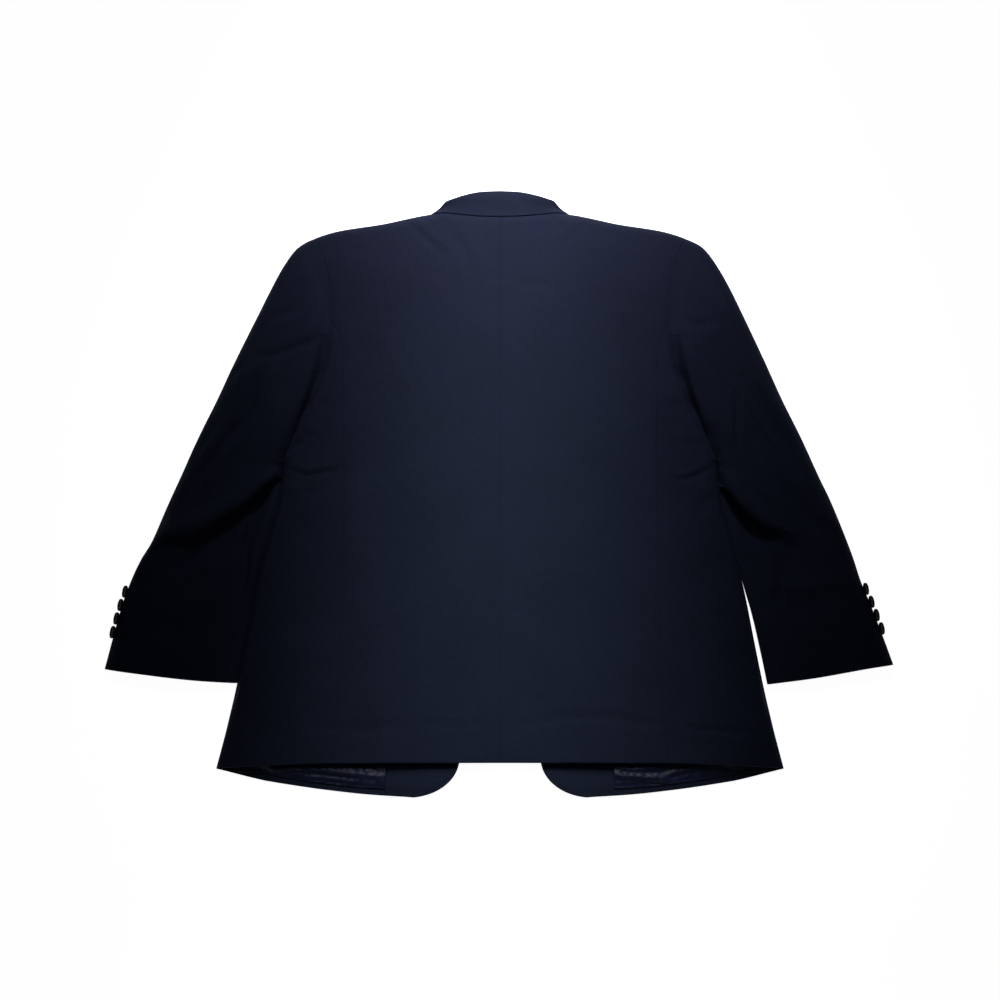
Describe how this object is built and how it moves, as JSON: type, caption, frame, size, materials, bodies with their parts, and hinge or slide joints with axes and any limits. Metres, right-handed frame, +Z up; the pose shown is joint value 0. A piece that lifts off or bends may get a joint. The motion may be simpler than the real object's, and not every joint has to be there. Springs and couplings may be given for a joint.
{
  "type": "blazer",
  "caption": "Single-breasted notch-lapel wool blazer laid flat, face down with its back up, sleeves out at the sides and fronts peeking below the ventless back hem.",
  "frame": {"origin": "on the surface the blazer lies on, under the middle of its outline", "axes": "+X across the blazer towards the wearer's right sleeve, +Y from hem to collar, +Z up from the surface out of its back"},
  "size_m": [0.9096, 0.8132, 0.032],
  "materials": {
    "navy_wool": "fine matte worsted wool",
    "lining_twill": "shiny lining twill",
    "button_resin": "polished resin"
  },
  "bodies": {
    "root": {"back_left": "navy_wool", "back_right": "navy_wool", "side_left": "navy_wool", "side_right": "navy_wool", "front_left": "navy_wool", "front_right": "navy_wool", "facing_left": "navy_wool", "facing_right": "navy_wool", "lapel_left": "navy_wool", "lapel_right": "navy_wool", "collar": "navy_wool", "sleeve_under_left": "navy_wool", "sleeve_under_right": "navy_wool", "sleeve_top_left": "navy_wool", "sleeve_top_right": "navy_wool", "lining_left": "lining_twill", "lining_right": "lining_twill", "cuff_button_left_1": "button_resin", "cuff_button_left_2": "button_resin", "cuff_button_left_3": "button_resin", "cuff_button_left_4": "button_resin", "cuff_button_right_1": "button_resin", "cuff_button_right_2": "button_resin", "cuff_button_right_3": "button_resin", "cuff_button_right_4": "button_resin", "front_button_1": "button_resin", "front_button_2": "button_resin"}
  },
  "joints": []
}
